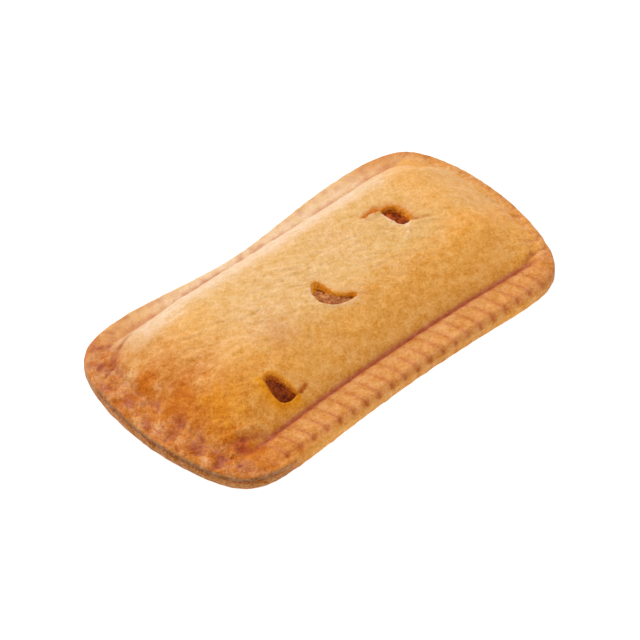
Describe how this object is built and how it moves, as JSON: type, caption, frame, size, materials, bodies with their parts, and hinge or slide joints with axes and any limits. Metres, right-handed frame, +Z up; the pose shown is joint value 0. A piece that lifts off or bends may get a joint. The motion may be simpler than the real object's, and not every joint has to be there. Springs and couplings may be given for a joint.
{
  "type": "baked turnover slice",
  "caption": "Baked oblong turnover of golden pastry with a crimped rim, a low dome with cut slits and a meat filling that shows through them.",
  "frame": {"origin": "middle of the flat underside, at the centre of the bounding box", "axes": "+Z up out of the dome, +X along the length towards the slit with the raised lip, +Y across towards the narrower crimped band"},
  "size_m": [0.1503, 0.0799, 0.0186],
  "materials": {
    "pastry": "baked golden pastry crust with a thin egg-wash sheen, paler on the shoulders, red-brown in grooves and dimples",
    "filling": "moist cooked minced meat in gravy, dark brown with paler lumps"
  },
  "bodies": {
    "root": {"pastry": "pastry", "filling": "filling"}
  },
  "joints": []
}
